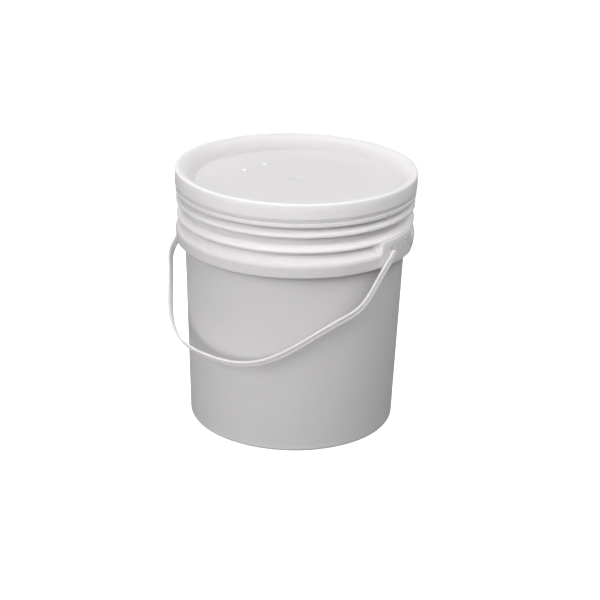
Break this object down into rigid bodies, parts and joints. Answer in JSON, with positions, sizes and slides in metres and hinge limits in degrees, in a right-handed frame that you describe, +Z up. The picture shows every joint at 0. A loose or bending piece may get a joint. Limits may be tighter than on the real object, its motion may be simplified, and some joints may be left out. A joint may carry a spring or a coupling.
{
  "type": "lidded plastic pail",
  "caption": "Round tapered plastic pail with ribbed top, press-on dished lid with tear-off strip and gasket, and a swinging strap bail hung from moulded ears.",
  "frame": {"origin": "centre of the flat underside of the base", "axes": "+Z up along the pail's axis, X along the bail's hinge line through the two ears, and the bail hangs towards -Y"},
  "size_m": [0.253, 0.2532, 0.2659],
  "materials": {
    "pail_plastic": "satin white polyethylene",
    "lid_plastic": "satin white polyethylene",
    "gasket_rubber": "matt foam rubber",
    "strip_plastic": "satin white polyethylene",
    "bail_plastic": "satin white polyethylene"
  },
  "bodies": {
    "pail": {"pail_body": "pail_plastic"},
    "lid": {"lid": "lid_plastic", "lid_gasket": "gasket_rubber", "tear_strip": "strip_plastic"},
    "bail": {"bail_handle": "bail_plastic"}
  },
  "joints": [
    {"name": "lid_lift", "type": "slide", "parent": "pail", "child": "lid", "axis": [0, 0, 1], "range_m": [0, 0.15]},
    {"name": "bail_swing", "type": "hinge", "parent": "pail", "child": "bail", "pos_m": [0, 0, 0.2022], "axis": [-1, 0, 0], "range_deg": [-7.9, 266.1]}
  ]
}
